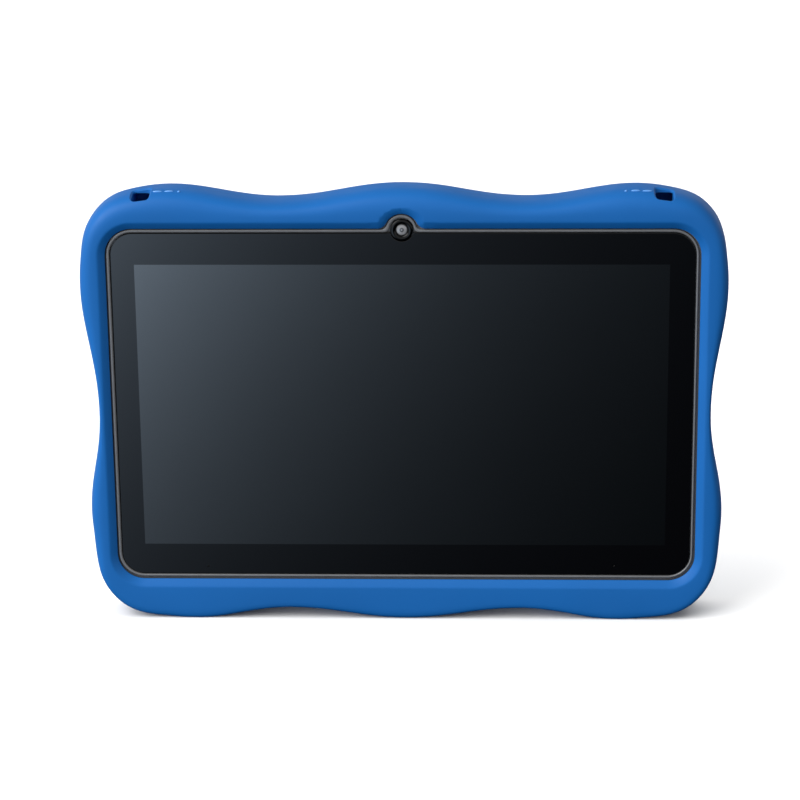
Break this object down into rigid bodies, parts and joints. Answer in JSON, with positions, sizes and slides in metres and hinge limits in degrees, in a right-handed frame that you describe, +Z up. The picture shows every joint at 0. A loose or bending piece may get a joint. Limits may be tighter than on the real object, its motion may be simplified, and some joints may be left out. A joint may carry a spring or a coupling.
{
  "type": "kids tablet",
  "caption": "Small children's tablet computer in a thick wavy silicone bumper case, with front and rear cameras, edge buttons, strap slots and a fold-out rear stand.",
  "frame": {"origin": "on the floor under the middle of the case", "axes": "+X to the right of someone looking at the screen, +Y from the screen to the back, +Z up"},
  "size_m": [0.1876, 0.0176, 0.1309],
  "materials": {
    "silicone_blue": "matte silicone",
    "black_plastic": "fine matte",
    "bezel_grey": "satin painted plastic",
    "black_glass": "polished, back-printed black",
    "stand_blue": "fine moulded texture",
    "steel": "plain",
    "board_green": "solder mask",
    "chip_black": "moulded",
    "flex_amber": "polyimide film",
    "wire_red": "insulated wire",
    "wire_black": "insulated wire",
    "led_white": "diffusing",
    "connector_ivory": "moulded",
    "foil_silver": "laminated foil pouch",
    "backlight_white": "moulded tray and film stack"
  },
  "bodies": {
    "case_and_tablet": {"silicone_case": "silicone_blue", "kickstand_tray": "stand_blue", "kickstand_pin": "steel", "front_frame": "bezel_grey", "rear_cover": "black_plastic", "cover_glass": "black_glass", "glass_tape": "black_plastic", "lcd_cell": "black_glass", "backlight_unit": "backlight_white", "front_camera_ring": "black_plastic", "front_camera_lens": "black_glass", "front_camera_module": "chip_black", "front_camera_flex": "flex_amber", "rear_camera_module": "chip_black", "rear_camera_ring": "steel", "rear_camera_lens": "black_glass", "rear_camera_flex": "flex_amber", "usb_socket": "steel", "headphone_jack": "chip_black", "card_socket": "steel", "speaker": "chip_black", "speaker_lead_red": "wire_red", "speaker_lead_black": "wire_black", "microphone": "steel", "microphone_flex": "flex_amber", "status_led": "led_white", "main_board": "board_green", "board_screw_1": "steel", "board_screw_2": "steel", "board_screw_3": "steel", "board_screw_4": "steel", "processor_chip": "chip_black", "memory_chip": "chip_black", "storage_chip": "chip_black", "power_chip": "chip_black", "wifi_module": "steel", "lcd_connector": "connector_ivory", "battery_connector": "connector_ivory", "battery": "foil_silver", "battery_tape": "black_plastic", "battery_lead_red": "wire_red", "battery_lead_black": "wire_black", "lcd_flex": "flex_amber", "touch_flex": "flex_amber", "wifi_antenna": "flex_amber", "antenna_lead": "wire_black", "key_flex": "flex_amber", "key_board": "board_green", "power_switch": "steel", "volume_up_switch": "steel", "volume_down_switch": "steel"},
    "kickstand": {"kickstand_leg": "stand_blue"},
    "power": {"power_button": "black_plastic", "power_plunger": "black_plastic"},
    "volume_up": {"volume_up_button": "black_plastic", "volume_up_plunger": "black_plastic"},
    "volume_down": {"volume_down_button": "black_plastic", "volume_down_plunger": "black_plastic"}
  },
  "joints": [
    {"name": "kickstand_hinge", "type": "hinge", "parent": "case_and_tablet", "child": "kickstand", "pos_m": [0, 0.00735, 0.099], "axis": [1, 0, 0], "range_deg": [0, 60]},
    {"name": "power_press", "type": "slide", "parent": "case_and_tablet", "child": "power", "axis": [-1, 0, 0], "range_m": [0, 0.00035], "stiffness_N_per_m": 500, "springref_m": -0.003},
    {"name": "volume_up_press", "type": "slide", "parent": "case_and_tablet", "child": "volume_up", "axis": [-1, 0, 0], "range_m": [0, 0.00035], "stiffness_N_per_m": 500, "springref_m": -0.003},
    {"name": "volume_down_press", "type": "slide", "parent": "case_and_tablet", "child": "volume_down", "axis": [-1, 0, 0], "range_m": [0, 0.00035], "stiffness_N_per_m": 500, "springref_m": -0.003}
  ]
}
